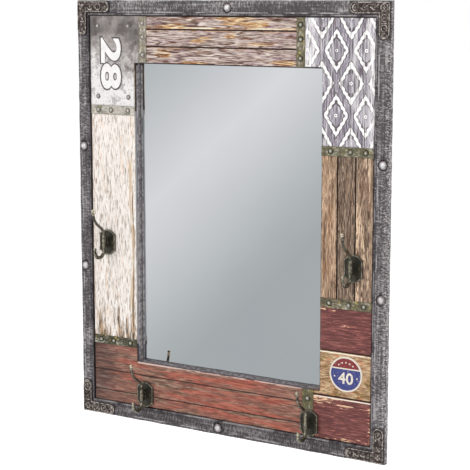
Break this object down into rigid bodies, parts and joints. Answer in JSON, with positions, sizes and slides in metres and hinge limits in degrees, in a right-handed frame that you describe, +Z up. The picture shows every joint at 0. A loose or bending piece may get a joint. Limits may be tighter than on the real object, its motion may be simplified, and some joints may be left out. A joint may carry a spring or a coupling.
{
  "type": "wall mirror with hooks",
  "caption": "Wall mirror in a patchwork frame of worn painted boards and metal straps, with double coat hooks on its sides and foot.",
  "frame": {"origin": "centre of the back face, on the wall plane", "axes": "+X to the viewer's right, +Y into the wall, +Z up; the mirror faces -Y"},
  "size_m": [0.65, 0.0804, 0.8],
  "materials": {
    "plywood": "matt",
    "pine": "matt",
    "dowel_wood": "matt",
    "zinc_steel": "satin",
    "liner_metal": "satin",
    "mirror": "polished",
    "packing": "matt",
    "hardboard": "matt",
    "pewter": "hammered satin",
    "bracket_pewter": "pressed, satin",
    "nickel": "worn satin",
    "worn_grey_plate": "worn paint",
    "bare_board": "matt",
    "grey_brown_board": "weathered",
    "patterned_white_board": "painted pattern",
    "brown_board": "weathered",
    "dark_red_board": "worn paint",
    "tan_board": "weathered",
    "worn_red_board": "worn paint",
    "worn_white_board": "worn paint",
    "old_brass": "tarnished",
    "enamel": "gloss enamel",
    "brass_screws": "worn satin",
    "dark_bronze": "antique bronze, rubbed highlights"
  },
  "bodies": {
    "root": {"carrier_board": "plywood", "back_rail_top": "pine", "back_rail_bottom": "pine", "back_rail_left": "pine", "back_rail_right": "pine", "rail_dowels": "dowel_wood", "carrier_screws": "zinc_steel", "liner_top": "liner_metal", "liner_bottom": "liner_metal", "liner_left": "liner_metal", "liner_right": "liner_metal", "mirror_glass": "mirror", "packing_sheet": "packing", "back_cover": "hardboard", "back_cover_screws": "zinc_steel", "border_top": "pewter", "border_bottom": "pewter", "border_left": "pewter", "border_right": "pewter", "corner_bracket_top_left": "bracket_pewter", "corner_bracket_top_right": "bracket_pewter", "corner_bracket_bottom_left": "bracket_pewter", "corner_bracket_bottom_right": "bracket_pewter", "bracket_nails": "nickel", "border_studs": "nickel", "plate_base_board": "bare_board", "number_plate": "worn_grey_plate", "top_board_upper": "grey_brown_board", "top_board_middle": "grey_brown_board", "top_board_lower": "grey_brown_board", "pattern_board": "patterned_white_board", "right_board_inner": "brown_board", "right_board_middle": "brown_board", "right_board_outer": "brown_board", "red_board": "dark_red_board", "badge_board": "tan_board", "corner_board": "dark_red_board", "bottom_board_upper": "worn_red_board", "bottom_board_middle": "worn_red_board", "bottom_board_lower": "worn_red_board", "white_board": "worn_white_board", "strap_top_left": "old_brass", "strap_top_right": "old_brass", "strap_left_upper": "old_brass", "strap_left_lower": "old_brass", "strap_right_upper": "old_brass", "strap_right_lower": "old_brass", "strap_bottom": "old_brass", "rivets": "nickel", "enamel_badge": "enamel", "hook_left": "dark_bronze", "hook_right": "dark_bronze", "hook_bottom_left": "dark_bronze", "hook_bottom_right": "dark_bronze", "hook_screws": "brass_screws", "hanger_plate_left": "zinc_steel", "hanger_plate_right": "zinc_steel", "hanger_screws": "zinc_steel"}
  },
  "joints": []
}
